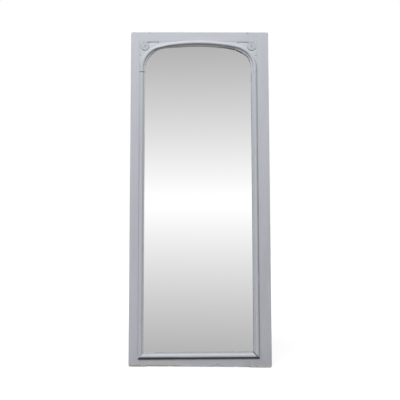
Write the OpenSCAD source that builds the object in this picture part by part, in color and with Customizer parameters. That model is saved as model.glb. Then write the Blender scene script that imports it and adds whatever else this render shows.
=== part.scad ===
// Tall leaner mirror: a jointed and panelled wooden back frame, painted, with a mirror plate
// laid on its front and held by a nailed bead that runs up into a three-centred arch.
// Millimetres. X runs along the width, Z is up, and the front faces -Y.
// The origin is on the floor, in the middle of the width and of the depth.

/* [Overall] */
// Width over the outer edges of the stiles
overall_w = 750; // [700:1:820]
// Height from the floor to the top edge
overall_h = 1800; // [1650:5:1950]

/* [Frame] */
// Thickness of the stiles and of the outer rails
frame_t = 34; // [33:0.5:40]
// Flat face of the left stile, from its outer edge to the bead
left_flat = 46; // [38:1:60]
// Flat face of the right stile, from its outer edge to the bead
right_flat = 62; // [45:1:75]
// Flat face of the top rail, from the top edge to the head
top_flat = 53; // [42:1:60]
// Flat face of the bottom rail at its left end
foot_flat_left = 39; // [38:0.5:46]
// Flat face of the bottom rail at its right end
foot_flat_right = 48; // [46:0.5:54]
// Height of the bottom rail's underside above the floor, where it is worn
rail_lift = 2; // [0.5:0.5:4]
// Width of the lip behind the mirror plate
lip_w = 32; // [26:1:40]
// Rounding of the four outer corners
corner_r = 11; // [4:1:20]
// Rounding of the outer front edges
edge_r = 4; // [1:0.5:6]

/* [Joinery] */
// Thickness of the tenons of the outer rails
tenon_t = 9; // [7:0.5:10]
// Length of the tenons
tenon_l = 58; // [45:1:70]
// Shoulder left above and below a tenon
tenon_shoulder = 14; // [8:1:18]
// Diameter of the pegs through the tenons
peg_d = 9; // [6:0.5:12]
// Depth of the pegs from the back
peg_l = 22; // [16:0.5:24]
// Distance of the corner pegs from the shoulder of the rail
peg_in = 40; // [36:1:44]
// Wood left in front of the pegs of the cross rails
peg_stop = 2; // [1:0.5:4]
// Room round a tenon in its mortise
fit_gap = 0.2; // [0.1:0.05:0.4]
// Room round a peg or a nail in its hole
hole_gap = 0.05; // [0.02:0.01:0.1]

/* [Back] */
// Height of the two cross rails behind the plate
cross_h = 80; // [60:1:110]
// Height of the middle of the lower cross rail, as a share of the way up the back opening
cross_low = 0.34; // [0.28:0.01:0.4]
// Height of the middle of the upper cross rail, as a share of the way up the back opening
cross_high = 0.67; // [0.6:0.01:0.75]
// Thickness of the back panels
panel_t = 8; // [6:0.5:9]
// Depth that a panel goes into its groove
panel_in = 9; // [6:0.5:12]
// Wood between the back face and the panel groove
groove_back = 6; // [5:0.5:7]

/* [Bead] */
// Width of the bead, from its outer edge to the sight edge
bead_w = 31.5; // [31:0.5:36]
// Width of the bead's seat on the face of the frame
bead_seat = 17; // [15:0.5:19]
// Height of the crest above the face of the frame
crest_h = 9.5; // [9:0.25:10.5]
// Distance of the crest from the outer edge
crest_u = 13.5; // [12:0.5:13.5]
// Radius of the crest
crest_r = 11; // [10:0.25:11.5]
// Slope of the outer flank, in degrees
outer_a = 38; // [34:1:38]
// Slope of the inner flank, in degrees
flank_a = 55; // [50:1:58]
// Radius of the hollow at the foot of the inner flank
cove_r = 4; // [2:0.25:5]
// Height of the flat fillet at the sight edge
sight_h = 0.5; // [0.25:0.25:2]
// Bevel of the sight edge
sight_bevel = 1; // [0.5:0.25:1]
// Thickness of the sight edge behind the face of the frame
sight_back = 2; // [1.5:0.25:4]
// Distance of the tongue from the sight edge, on the straight beads
sight_in = 4; // [2:0.25:5]
// Depth of the tongue behind the face of the frame
tongue_d = 9; // [8:0.25:11]
// Joint beside the tongue, and round the spandrel boards
bead_gap = 0.5; // [0.3:0.1:0.8]
// Open joint between the left bead and the arch
left_joint = 2.5; // [0.5:0.5:5]
// Joint between the right bead and the arch
right_joint = 0.8; // [0.4:0.1:3]
// Open mitre at the lower right corner, measured across the joint
open_mitre = 4; // [0.5:0.5:5]
// Joint at the lower left mitre
left_mitre = 0.4; // [0.3:0.1:3]

/* [Arched head] */
// How far the top of the arch laps over the top rail
arch_lap = 5.5; // [0:0.5:8]
// Rise of the outer edge of the arch
arch_rise = 160; // [155:0.5:180]
// Radius of the outer edge at the two haunches
haunch_r = 143; // [125:1:148]
// Straight leg of the arch below its springing
leg_h = 16; // [12:1:40]
// Depth of the sunk field in each spandrel
field_d = 3; // [1:0.25:4.5]
// Distance from the arch to the sunk field
field_margin = 11; // [8:0.5:15]
// Distance from the rail to the sunk field
field_inset = 5; // [3:0.5:8]
// Radius of the gouge mark at the tip of the field
tip_r = 3; // [2:0.25:4]
// Depth of the gouge mark
tip_d = 4; // [2:0.25:5]

/* [Rosettes] */
// Radius of a rosette
rosette_r = 24; // [19:0.5:24]
// Distance of its centre from the side of the spandrel board
rosette_side = 30; // [27:0.5:33]
// Distance of its centre from the top of the spandrel board
rosette_top = 26; // [25:0.5:30]
// Thickness of its base disc
rosette_t = 2.5; // [1.5:0.25:4]
// Radius of the rod that its rim and middle ring would be cut from
ring_r = 2.2; // [1:0.1:2.8]
// Number of petals
petals = 8; // [6:1:10]
// Radius of the round of a petal
petal_r = 4.5; // [3.5:0.1:5]
// Radius of its middle boss
boss_r = 5; // [4:0.1:5.5]
// Gap between the boss and the petals
petal_gap = 1; // [0.5:0.1:1.5]

/* [Mirror plate] */
// Thickness of the plate
glass_t = 5; // [4:0.5:6]
// Gap between the plate and the rebate at the sides and the top
glass_gap = 2; // [1:0.25:3]
// Gap between the plate and the bead in front of it
glass_clear = 0.3; // [0.2:0.05:0.6]
// Height of the bottom of the rebate above the floor
rebate_z = 60; // [58:0.5:62]
// Thickness of the setting blocks under the plate
block_h = 3; // [2:0.5:5]
// Length of the setting blocks
block_l = 70; // [40:1:100]
// Length of the packers beside the plate
packer_l = 60; // [30:1:90]
// Number of packers at each side
packers = 3; // [2:1:5]

/* [Nails] */
// Diameter of the nail shanks
nail_d = 2; // [1.6:0.1:2.4]
// Diameter of the nail heads
nail_head_d = 4; // [3:0.1:5]
// Thickness of the nail heads
nail_head_t = 1; // [0.6:0.1:1.5]
// Depth of the heads below the crest of the bead
nail_sink = 2; // [1:0.25:3]
// Depth of the long nails behind the face of the frame
nail_in = 18; // [14:0.5:22]
// Wood left between a short nail and the plate
nail_stop = 1; // [0.5:0.25:2]
// Spacing of the nails along a straight bead
nail_pitch = 230; // [150:10:300]
// Number of nails in each haunch of the arch
haunch_nails = 2; // [1:1:3]
// Number of nails in the crown of the arch
crown_nails = 3; // [2:1:5]
// Joints between the crown and the haunches
crown_joint = 0.3; // [0.2:0.1:1]
// Height of the spandrel nails above the springing
spandrel_nail_z = 76; // [60:1:90]
// Distance of the spandrel nails from the side of the board
spandrel_nail_side = 6; // [5:0.5:8]

/* [Hidden] */
$fn = 48;

// Colours
paint = [0.72, 0.73, 0.77];
bare_wood = [0.55, 0.42, 0.3];
oak = [0.62, 0.47, 0.31];
iron = [0.35, 0.34, 0.33];
silvered = [0.86, 0.88, 0.88];

// A cut runs this far past the face that it opens
over = 1;

// Depth: the face of the frame is at y = 0 while a piece is built, and seated() moves it back
face_y = (crest_h - frame_t) / 2;
glass_front = tongue_d + glass_clear;
lip_front = glass_front + glass_t;
groove_w = panel_t + 2 * fit_gap;
groove_front = frame_t - groove_back - groove_w;
tenon_front = (lip_front + frame_t - tenon_t) / 2;

// Width: outer edges of the bead, walls of the rebate, inner edges of the lips
outer_l = -overall_w / 2;
outer_r = overall_w / 2;
bead_l = outer_l + left_flat;
bead_r = outer_r - right_flat;
wall_l = bead_l + bead_seat;
wall_r = bead_r - bead_seat;
lip_l = wall_l + lip_w;
lip_r = wall_r - lip_w;
sight_l = bead_l + bead_w;
sight_r = bead_r - bead_w;
stile_w_l = lip_l - outer_l;
stile_w_r = outer_r - lip_r;

// Height: the same for the head and the foot
head_top = overall_h - top_flat;
arch_top = head_top + arch_lap;
wall_top = arch_top - bead_seat;
lip_top = wall_top - lip_w;
lip_foot = rebate_z + lip_w;
plate_foot = rebate_z + block_h;

// Arch: haunch and crown arcs, tangent to each other, by their outer edges
arch_x = (bead_l + bead_r) / 2;
arch_half = (bead_r - bead_l) / 2;
spring_z = arch_top - arch_rise;
joint_z = spring_z - leg_h;
crown_r = (arch_half * arch_half + arch_rise * arch_rise - 2 * arch_half * haunch_r)
    / (2 * (arch_rise - haunch_r));
crown_z = arch_top - crown_r;
haunch_x = arch_half - haunch_r;
haunch_a = atan2(spring_z - crown_z, haunch_x);

// Foot bead: its outer edge rises from left to right
foot_slope = atan2(foot_flat_right - foot_flat_left, bead_r - bead_l);
function foot_z(x) = foot_flat_left + (x - bead_l) * tan(foot_slope);
foot_rise = bead_w / cos(foot_slope);
corner_lo = [bead_l, foot_z(bead_l)];
corner_li = [sight_l, foot_z(sight_l) + foot_rise];
corner_ro = [bead_r, foot_z(bead_r)];
corner_ri = [sight_r, foot_z(sight_r) + foot_rise];

// Heights of the tenons of the outer rails, bottom and top
top_tenon = [lip_top + tenon_shoulder, overall_h - 2 * tenon_shoulder];
foot_tenon = [rail_lift + tenon_shoulder, lip_foot - tenon_shoulder];

// Cross rails
back_h = lip_top - lip_foot;
cross_low_z = lip_foot + back_h * cross_low;
cross_high_z = lip_foot + back_h * cross_high;
cross_tenon_l = tenon_l / 2;

// Long nails reach nail_in into the frame, short ones stop in front of the plate
short_in = tongue_d - nail_stop;

function arc(c, r, a0, a1, n) =
    [for (i = [0:n]) let (a = a0 + (a1 - a0) * i / n) c + r * [cos(a), sin(a)]];

// Section of the bead: x is the distance from its outer edge, y the height above the face.
// A low square edge, the outer flank, the crest, a steep inner flank with a hollow foot, and a
// fillet. The tongue stands back from the sight edge by set_back.
edge_h = crest_h - crest_r * (1 - cos(outer_a)) - (crest_u - crest_r * sin(outer_a)) * tan(outer_a);
flank_drop = crest_h - sight_h - (crest_r + cove_r) * (1 - cos(flank_a));
fillet_u = crest_u + (crest_r + cove_r) * sin(flank_a) + flank_drop / tan(flank_a);
tongue_u = bead_seat + bead_gap;
function bead_section(set_back) = concat(
    [[0, 0], [0, edge_h]],
    arc([crest_u, crest_h - crest_r], crest_r, 90 + outer_a, 90 - flank_a, 12),
    arc([fillet_u, sight_h + cove_r], cove_r, 270 - flank_a, 270, 6),
    [[bead_w - sight_bevel, sight_h], [bead_w, sight_h - sight_bevel]],
    set_back > 0 ? [[bead_w, -sight_back], [bead_w - set_back, -sight_back]] : [],
    [[bead_w - set_back, -tongue_d], [tongue_u, -tongue_d], [tongue_u, 0]]
);

// Line of the arch, a distance u inside its outer edge, from the right springing to the left
function arch_line(u, n = 16) = concat(
    arc([arch_x + haunch_x, spring_z], haunch_r - u, 0, haunch_a, n),
    arc([arch_x, crown_z], crown_r - u, haunch_a, 180 - haunch_a, n),
    arc([arch_x - haunch_x, spring_z], haunch_r - u, 180 - haunch_a, 180, n)
);

// Moves a piece back by the depth of the origin, and gives it its colour
module seated(shade) {
    color(shade) translate([0, face_y, 0]) children();
}

// A block by its two corners; y is the depth behind the face
module block(a, b) {
    translate(a) cube(b - a);
}

// A shape drawn on the front, as x and z, and cut from depth y0 to depth y1
module from_front(y0, y1) {
    translate([0, y1, 0]) rotate([90, 0, 0]) linear_extrude(y1 - y0) children();
}

// A round bar into the wood, from depth y0 to depth y1
module bar(p, d, y0, y1) {
    translate([p[0], y0, p[1]]) rotate([-90, 0, 0]) cylinder(d = d, h = y1 - y0);
}

// What is cut away to round an outer corner of the frame, at p, towards the signs sx and sz
module corner_cut(p, sx, sz) {
    translate([p[0] - sx * corner_r, 0, p[1] - sz * corner_r])
        difference() {
            block([sx > 0 ? 0 : -corner_r - over, -over, sz > 0 ? 0 : -corner_r - over],
                [sx > 0 ? corner_r + over : 0, frame_t + over, sz > 0 ? corner_r + over : 0]);
            bar([0, 0], 2 * corner_r, -2 * over, frame_t + 2 * over);
        }
}

// What is cut away to round the front edge along the top
module top_edge_cut(x0, x1) {
    difference() {
        block([x0 - over, -over, overall_h - edge_r], [x1 + over, edge_r, overall_h + over]);
        translate([x0 - 2 * over, edge_r, overall_h - edge_r])
            rotate([0, 90, 0]) cylinder(r = edge_r, h = x1 - x0 + 4 * over);
    }
}

// Pegs, and the holes for them where gap is more than 0
module corner_peg_bars(gap) {
    for (x = [lip_l - peg_in, lip_r + peg_in], z = concat(top_tenon, foot_tenon))
        bar([x, z + (z == top_tenon[0] || z == foot_tenon[0] ? peg_d : -peg_d)],
            peg_d + 2 * gap, frame_t - peg_l, frame_t + (gap > 0 ? over : 0));
}

module cross_peg_bars(gap) {
    for (x = [lip_l - cross_tenon_l / 2, lip_r + cross_tenon_l / 2])
        for (z = [cross_low_z, cross_high_z])
            bar([x, z], peg_d + 2 * gap, lip_front + peg_stop, frame_t + (gap > 0 ? over : 0));
}

// Tenons at both ends of a rail between the heights z0 and z1
module tenons(z0, z1, length, gap) {
    for (side = [-1, 1]) {
        edge = side < 0 ? lip_l : lip_r;
        tip = edge + side * (length + gap);
        block([min(edge, tip), tenon_front - gap, z0 - gap],
            [max(edge, tip), tenon_front + tenon_t + gap, z1 + gap]);
    }
}

module top_tenons(gap) {
    tenons(top_tenon[0], top_tenon[1], tenon_l, gap);
}

module foot_tenons(gap) {
    tenons(foot_tenon[0], foot_tenon[1], tenon_l, gap);
}

module cross_tenons(z, gap) {
    tenons(z - cross_h / 2 + tenon_shoulder, z + cross_h / 2 - tenon_shoulder,
        cross_tenon_l, gap);
}

// A panel between the heights z0 and z1 of its opening, grown by gap to give its grooves
module panel_block(z0, z1, gap) {
    reach = panel_in + (gap > 0 ? over : 0);
    block([lip_l - reach, groove_front + fit_gap - gap, z0 - reach],
        [lip_r + reach, groove_front + fit_gap + panel_t + gap, z1 + reach]);
}

module panels(gap) {
    panel_block(lip_foot, cross_low_z - cross_h / 2, gap);
    panel_block(cross_low_z + cross_h / 2, cross_high_z - cross_h / 2, gap);
    panel_block(cross_high_z + cross_h / 2, lip_top, gap);
}

// Nails: shank and head, with the head's top at depth y0 and the point at depth y1
module nail(p, y0, y1, gap) {
    bar(p, nail_d + 2 * gap, y0, y1 + gap);
    bar(p, nail_head_d + 2 * gap, y0 - gap, y0 + nail_head_t + gap);
}

bead_nail_y = nail_sink - crest_h;
side_len = joint_z - rebate_z - 2 * bead_w;
side_nails = floor(side_len / nail_pitch);
foot_len = sight_r - sight_l - 2 * bead_w;
foot_nails = floor(foot_len / nail_pitch);

module side_nail_bars(gap) {
    for (i = [0:side_nails]) {
        z = rebate_z + 2 * bead_w + side_len * (i + 0.5) / (side_nails + 1);
        nail([bead_l + crest_u, z], bead_nail_y, nail_in, gap);
        nail([bead_r - crest_u, z], bead_nail_y, nail_in, gap);
    }
}

module foot_nail_bars(gap) {
    for (i = [0:foot_nails]) {
        x = sight_l + bead_w + foot_len * (i + 0.5) / (foot_nails + 1);
        nail([x, min(foot_z(x) + crest_u, rebate_z - nail_head_d)], -edge_h, nail_in, gap);
    }
}

// The arch nails are short, because the plate lies behind the spandrel boards
module haunch_nail_bars(gap) {
    for (side = [-1, 1], i = [0:haunch_nails - 1]) {
        a = haunch_a * (i + 0.5) / haunch_nails;
        nail([arch_x + side * (haunch_x + (haunch_r - crest_u) * cos(a)),
            spring_z + (haunch_r - crest_u) * sin(a)], bead_nail_y, short_in, gap);
    }
}

module crown_nail_bars(gap) {
    for (i = [0:crown_nails - 1]) {
        a = haunch_a + (180 - 2 * haunch_a) * (i + 0.5) / crown_nails;
        nail([arch_x, crown_z] + (crown_r - crest_u) * [cos(a), sin(a)],
            bead_nail_y, short_in, gap);
    }
}

spandrel_nail_p = [
    [bead_l + spandrel_nail_side, spring_z + spandrel_nail_z],
    [bead_r - spandrel_nail_side, spring_z + spandrel_nail_z]
];

module spandrel_nail_bars(gap) {
    for (p = spandrel_nail_p) nail(p, 0, nail_in, gap);
}

rosette_c = [
    [bead_l + rosette_side, head_top - rosette_top],
    [bead_r - rosette_side, head_top - rosette_top]
];
boss_top = rosette_t + boss_r / 2;

module rosette_pin_bars(gap) {
    for (p = rosette_c) nail(p, -boss_top, short_in, gap);
}

// Everything that is cut out of both stiles
module stile_cuts() {
    block([wall_l, -over, rebate_z], [wall_r, lip_front, wall_top]);
    block([bead_l, -over, joint_z], [bead_r, tongue_d, head_top]);
    panels(fit_gap);
    top_tenons(fit_gap);
    foot_tenons(fit_gap);
    cross_tenons(cross_low_z, fit_gap);
    cross_tenons(cross_high_z, fit_gap);
    corner_peg_bars(hole_gap);
    cross_peg_bars(hole_gap);
    side_nail_bars(hole_gap);
    spandrel_nail_bars(hole_gap);
}

// Plan of a stile from the outer edge inwards, with its rounded front edge
module stile_blank(w) {
    linear_extrude(overall_h)
        polygon(concat(arc([edge_r, edge_r], edge_r, 180, 270, 6),
            [[w, 0], [w, frame_t], [0, frame_t]]));
}

module left_stile() {
    seated(paint) difference() {
        translate([outer_l, 0, 0]) stile_blank(stile_w_l);
        stile_cuts();
        top_edge_cut(outer_l, lip_l);
        corner_cut([outer_l, 0], -1, -1);
        corner_cut([outer_l, overall_h], -1, 1);
    }
}

module right_stile() {
    seated(paint) difference() {
        translate([outer_r, 0, 0]) mirror([1, 0, 0]) stile_blank(stile_w_r);
        stile_cuts();
        top_edge_cut(lip_r, outer_r);
        corner_cut([outer_r, 0], 1, -1);
        corner_cut([outer_r, overall_h], 1, 1);
    }
}

module top_rail() {
    seated(paint) difference() {
        union() {
            block([lip_l, 0, lip_top], [lip_r, frame_t, overall_h]);
            top_tenons(0);
        }
        block([lip_l - over, -over, lip_top - over], [lip_r + over, lip_front, wall_top]);
        block([lip_l - over, -over, wall_top - over], [lip_r + over, tongue_d, head_top]);
        panels(fit_gap);
        top_edge_cut(lip_l, lip_r);
        corner_peg_bars(hole_gap);
    }
}

module bottom_rail() {
    seated(paint) difference() {
        union() {
            block([lip_l, 0, rail_lift], [lip_r, frame_t, lip_foot]);
            foot_tenons(0);
        }
        block([lip_l - over, -over, rebate_z], [lip_r + over, lip_front, lip_foot + over]);
        panels(fit_gap);
        corner_peg_bars(hole_gap);
        foot_nail_bars(hole_gap);
    }
}

module cross_rail(z) {
    seated(oak) difference() {
        union() {
            block([lip_l, lip_front, z - cross_h / 2], [lip_r, frame_t, z + cross_h / 2]);
            cross_tenons(z, 0);
        }
        panels(fit_gap);
        cross_peg_bars(hole_gap);
    }
}

module lower_cross_rail() { cross_rail(cross_low_z); }

module upper_cross_rail() { cross_rail(cross_high_z); }

module lower_panel() {
    seated(bare_wood) panel_block(lip_foot, cross_low_z - cross_h / 2, 0);
}

module middle_panel() {
    seated(bare_wood) panel_block(cross_low_z + cross_h / 2, cross_high_z - cross_h / 2, 0);
}

module upper_panel() {
    seated(bare_wood) panel_block(cross_high_z + cross_h / 2, lip_top, 0);
}

module corner_pegs() {
    seated(oak) corner_peg_bars(0);
}

module cross_rail_pegs() {
    seated(oak) cross_peg_bars(0);
}

module mirror_plate() {
    seated(silvered)
        block([wall_l + glass_gap, glass_front, plate_foot],
            [wall_r - glass_gap, lip_front, wall_top - glass_gap]);
}

// Two blocks that carry the plate, a quarter of the way in from each side
module setting_blocks() {
    seated(bare_wood) for (k = [0.25, 0.75]) {
        x = wall_l + (wall_r - wall_l) * k;
        block([x - block_l / 2, glass_front, rebate_z],
            [x + block_l / 2, lip_front, plate_foot]);
    }
}

// Thin packers that keep the plate in the middle of its rebate
module side_packers() {
    seated(bare_wood) for (i = [0:packers - 1]) {
        z = plate_foot + (wall_top - plate_foot) * (i + 0.5) / packers;
        block([wall_l, glass_front, z - packer_l / 2],
            [wall_l + glass_gap, lip_front, z + packer_l / 2]);
        block([wall_r - glass_gap, glass_front, z - packer_l / 2],
            [wall_r, lip_front, z + packer_l / 2]);
    }
}

// Sunk field of the left spandrel: from the rosette to its tip, beside the arch
module left_field() {
    field_top = head_top - field_inset;
    reach = crown_r + field_margin;
    tip = arch_x - sqrt(reach * reach - pow(field_top - crown_z, 2));
    from_x = rosette_c[0][0];
    from_front(-over, field_d) intersection() {
        polygon(concat([[tip, field_top]],
            [for (p = arch_line(-field_margin)) if (p[0] < tip && p[0] > from_x) p],
            [[from_x, field_top]]));
        translate([from_x, spring_z]) square([arch_half, field_top - spring_z]);
    }
    bar([tip - tip_r, field_top - tip_r], 2 * tip_r, -over, tip_d);
}

// Left half of the arched head; the right half is its mirror image
module left_half_board() {
    difference() {
        from_front(0, tongue_d) difference() {
            translate([bead_l + bead_gap, joint_z])
                square([arch_half - 1.5 * bead_gap, head_top - bead_gap - joint_z]);
            polygon(concat([[bead_r - bead_seat, joint_z - over]], arch_line(bead_seat),
                [[bead_l + bead_seat, joint_z - over]]));
        }
        left_field();
    }
}

// The same thing on the other side of the arch
module other_side() {
    translate([2 * arch_x, 0, 0]) mirror([1, 0, 0]) children();
}

module left_spandrel() {
    seated(paint) difference() {
        left_half_board();
        spandrel_nail_bars(hole_gap);
        rosette_pin_bars(hole_gap);
        haunch_nail_bars(hole_gap);
        crown_nail_bars(hole_gap);
    }
}

module right_spandrel() {
    seated(paint) difference() {
        other_side() left_half_board();
        spandrel_nail_bars(hole_gap);
        rosette_pin_bars(hole_gap);
        haunch_nail_bars(hole_gap);
        crown_nail_bars(hole_gap);
    }
}

module spandrel_nails() {
    seated(iron) spandrel_nail_bars(0);
}

// A turned disc with a rim, a ring of round petals and a middle boss
module rosette(p) {
    seated(paint) difference() {
        translate([p[0], 0, p[1]]) rotate([90, 0, 0]) {
            cylinder(r = rosette_r, h = rosette_t);
            translate([0, 0, rosette_t]) rotate_extrude()
                translate([rosette_r - ring_r, 0]) intersection() {
                    circle(r = ring_r);
                    translate([-ring_r, -ring_r / 2]) square([2 * ring_r, 2 * ring_r]);
                }
            for (i = [0:petals - 1]) rotate([0, 0, 360 * (i + 0.5) / petals])
                translate([boss_r + petal_gap + petal_r, 0, rosette_t - petal_r / 2])
                    intersection() {
                        sphere(r = petal_r);
                        translate([-petal_r, -petal_r, 0]) cube(2 * petal_r);
                    }
            translate([0, 0, rosette_t - boss_r / 2]) intersection() {
                sphere(r = boss_r);
                translate([-boss_r, -boss_r, 0]) cube(2 * boss_r);
            }
        }
        rosette_pin_bars(hole_gap);
    }
}

module left_rosette() { rosette(rosette_c[0]); }

module right_rosette() { rosette(rosette_c[1]); }

module rosette_pins() {
    seated(iron) rosette_pin_bars(0);
}

// A stretch of bead along an arc of the arch
module bead_arc(c, r, a0, a1) {
    translate([c[0], 0, c[1]]) rotate([90, 0, 0]) rotate([0, 0, a0])
        rotate_extrude(angle = a1 - a0, $fn = 180)
            polygon([for (p = bead_section(0)) [r - p[0], p[1]]]);
}

// A straight stretch of the left bead between two heights
module left_stretch(z0, z1, set_back) {
    translate([bead_l, 0, z0]) linear_extrude(z1 - z0)
        polygon([for (p = bead_section(set_back)) [p[0], -p[1]]]);
}

// The right haunch, with the straight leg below it
module haunch_piece() {
    union() {
        bead_arc([arch_x + haunch_x, spring_z], haunch_r, 0, haunch_a);
        other_side() left_stretch(joint_z, spring_z, 0);
    }
}

module left_haunch_bead() {
    seated(paint) difference() {
        other_side() haunch_piece();
        haunch_nail_bars(hole_gap);
    }
}

module right_haunch_bead() {
    seated(paint) difference() {
        haunch_piece();
        haunch_nail_bars(hole_gap);
    }
}

module crown_bead() {
    joint_a = crown_joint / crown_r * 180 / PI;
    seated(paint) difference() {
        bead_arc([arch_x, crown_z], crown_r, haunch_a + joint_a, 180 - haunch_a - joint_a);
        crown_nail_bars(hole_gap);
    }
}

module left_bead() {
    seated(paint) difference() {
        intersection() {
            left_stretch(0, joint_z - left_joint, sight_in);
            from_front(-crest_h - over, frame_t)
                polygon([corner_lo, corner_li, [sight_l, joint_z], [bead_l, joint_z]]);
        }
        tongue_end_cut();
        side_nail_bars(hole_gap);
    }
}

module right_bead() {
    seated(paint) difference() {
        intersection() {
            other_side() left_stretch(0, joint_z - right_joint, sight_in);
            from_front(-crest_h - over, frame_t)
                polygon([corner_ro, [bead_r, joint_z], [sight_r, joint_z], corner_ri]);
        }
        tongue_end_cut();
        side_nail_bars(hole_gap);
    }
}

// The tongues stop at the bottom of the level rebate, though the foot bead slopes
module tongue_end_cut() {
    block([outer_l, 0, 0], [outer_r, frame_t, rebate_z + bead_gap]);
}

module bottom_bead() {
    shift_l = left_mitre * sqrt(2);
    shift_r = open_mitre * sqrt(2);
    seated(paint) difference() {
        intersection() {
            translate([bead_l, 0, foot_z(bead_l)]) rotate([0, -foot_slope, 0])
                translate([arch_half * 2 + bead_w, 0, 0]) rotate([0, -90, 0])
                    linear_extrude(arch_half * 2 + 2 * bead_w)
                        polygon([for (p = bead_section(sight_in)) [p[0], -p[1]]]);
            from_front(-crest_h - over, frame_t)
                polygon([corner_lo + [shift_l, 0], corner_li + [shift_l, 0],
                    corner_ri - [shift_r, 0], corner_ro - [shift_r, 0]]);
        }
        tongue_end_cut();
        foot_nail_bars(hole_gap);
    }
}

module arch_bead_nails() {
    seated(iron) {
        haunch_nail_bars(0);
        crown_nail_bars(0);
    }
}

module side_bead_nails() {
    seated(iron) side_nail_bars(0);
}

module bottom_bead_nails() {
    seated(iron) foot_nail_bars(0);
}

left_stile();
right_stile();
top_rail();
bottom_rail();
lower_cross_rail();
upper_cross_rail();
lower_panel();
middle_panel();
upper_panel();
corner_pegs();
cross_rail_pegs();
mirror_plate();
setting_blocks();
side_packers();
left_spandrel();
right_spandrel();
spandrel_nails();
left_rosette();
right_rosette();
rosette_pins();
left_haunch_bead();
crown_bead();
right_haunch_bead();
left_bead();
right_bead();
bottom_bead();
arch_bead_nails();
side_bead_nails();
bottom_bead_nails();
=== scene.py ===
"""Looks for a tall painted leaner mirror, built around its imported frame.

Sizes are written in millimetres, as in the part's source, and made into metres where a mesh
is built. X runs along the width, Y runs back to the wall and Z is up.
"""
import math

import bmesh
import bpy
from mathutils import Matrix, Vector, noise


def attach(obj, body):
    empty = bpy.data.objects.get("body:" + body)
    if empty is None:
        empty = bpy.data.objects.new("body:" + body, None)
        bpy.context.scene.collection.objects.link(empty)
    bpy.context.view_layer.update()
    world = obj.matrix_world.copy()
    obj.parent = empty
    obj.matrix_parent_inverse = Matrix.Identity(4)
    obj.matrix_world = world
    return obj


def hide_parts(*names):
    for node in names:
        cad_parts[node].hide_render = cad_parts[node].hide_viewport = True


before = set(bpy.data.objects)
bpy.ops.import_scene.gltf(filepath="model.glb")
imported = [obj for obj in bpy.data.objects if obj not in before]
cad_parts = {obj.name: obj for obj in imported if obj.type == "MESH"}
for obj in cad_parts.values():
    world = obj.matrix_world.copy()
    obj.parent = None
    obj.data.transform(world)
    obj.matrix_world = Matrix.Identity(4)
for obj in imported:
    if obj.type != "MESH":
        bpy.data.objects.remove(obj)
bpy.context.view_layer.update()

MM = 0.001
X, Y, Z = range(3)

# Frame: its face and back, the outer edges of the side beads, the lips behind the plate, the top of
# the arch bead, and the seam between the spandrel boards and the top rail
FRAME_T = 34.0
FACE_Y = -12.25
BACK_Y = FACE_Y + FRAME_T
BEAD_L = -329.0
BEAD_R = 313.0
LIP_L = -280.0
LIP_R = 264.0
ARCH_TOP = 1752.5
HEAD_Z = 1747.0
RAIL_LIFT = 2.0
REBATE_Z = 60.0
GROOVE_D = 9.0

# Bead, by the distance u from its outer edge and the height v above the face
BEAD_W = 31.5
BEAD_SEAT = 17.0
BEAD_GAP = 0.5
CREST_H = 9.5
CREST_U = 13.5
CREST_R = 11.0
OUTER_A = 38.0
FLANK_A = 55.0
COVE_R = 4.0
SIGHT_H = 0.5
SIGHT_BEVEL = 1.0
SIGHT_BACK = 2.0
SIGHT_IN = 4.0
TONGUE_D = 9.0
LEFT_JOINT = 2.5
RIGHT_JOINT = 0.8
LEFT_MITRE = 0.4
OPEN_MITRE = 4.0
MITRE_REACH = OPEN_MITRE * 0.6
SIDE_NAILS = 7
ARCH_NAILS = 3
FOOT_NAILS = 3

# Arch
ARCH_RISE = 160.0
HAUNCH_R = 143.0
LEG_H = 16.0
ARCH_X = (BEAD_L + BEAD_R) / 2
ARCH_HALF = (BEAD_R - BEAD_L) / 2
SPRING_Z = ARCH_TOP - ARCH_RISE
JOINT_Z = SPRING_Z - LEG_H
CROWN_R = (ARCH_HALF ** 2 + ARCH_RISE ** 2 - 2 * ARCH_HALF * HAUNCH_R) / (2 * (ARCH_RISE - HAUNCH_R))
CROWN_Z = ARCH_TOP - CROWN_R
HAUNCH_X = ARCH_HALF - HAUNCH_R
HAUNCH_A = math.atan2(SPRING_Z - CROWN_Z, HAUNCH_X)
CROWN_JOINT = 0.3

# Foot bead
FOOT_L = 39.0
FOOT_R = 48.0
FOOT_SLOPE = math.atan2(FOOT_R - FOOT_L, BEAD_R - BEAD_L)
FOOT_RISE = BEAD_W / math.cos(FOOT_SLOPE)

# Spandrels and rosettes
FIELD_TOP = 1742.0
FIELD_FLOOR = 3.0
FIELD_MARGIN = 11.0
ROSETTE_R = 24.0
PETALS = 8
ROSETTES = {"left_rosette": (-299.0, 1721.0), "right_rosette": (283.0, 1721.0)}

# The two attributes that the paint reads. Wear runs from 0 over worn arrises and bare wood to a
# white that is painted light. The second is 0 where it is clean, 1 where it is dirty and where it is
# painted shade, and 2 where it is black, mostly as painted shade in the seams.
ARRIS_WEAR = 0.75
BARE = 3.0
PAINTED_LIGHT = 6.0
# Black levels: painted shade in the seams, joints and mitres
SHADE_BLACK = 2.0
JOINT_SHADE_BLACK = 1.95

# Marks along the foot: a flake lost from the bottom rail, and a dark dot at the right stile
FLAKE_X = 92.0
DOT_X = 295.0


def rough(x, y=0.0, z=0.0):
    """Smooth noise from -1 to 1."""
    return noise.noise(Vector((x, y, z)))


def clamped(t):
    """t, held between 0 and 1."""
    return min(max(t, 0.0), 1.0)


def ease(t):
    """A smooth step from 0 to 1."""
    t = clamped(t)
    return t * t * (3 - 2 * t)


def rise(x, start, width):
    """0 up to start, and a smooth step up to 1 over the width after it."""
    return ease((x - start) / width)


def fade(x, start, width):
    """1 up to start, and a smooth step down to 0 over the width after it."""
    return 1 - rise(x, start, width)


def bell(x, middle, width):
    """A smooth hump, 1 high."""
    return math.exp(-((x - middle) / width) ** 2)


# Camera: its place in metres and its angles in degrees fit the four outer corners in the photo

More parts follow.
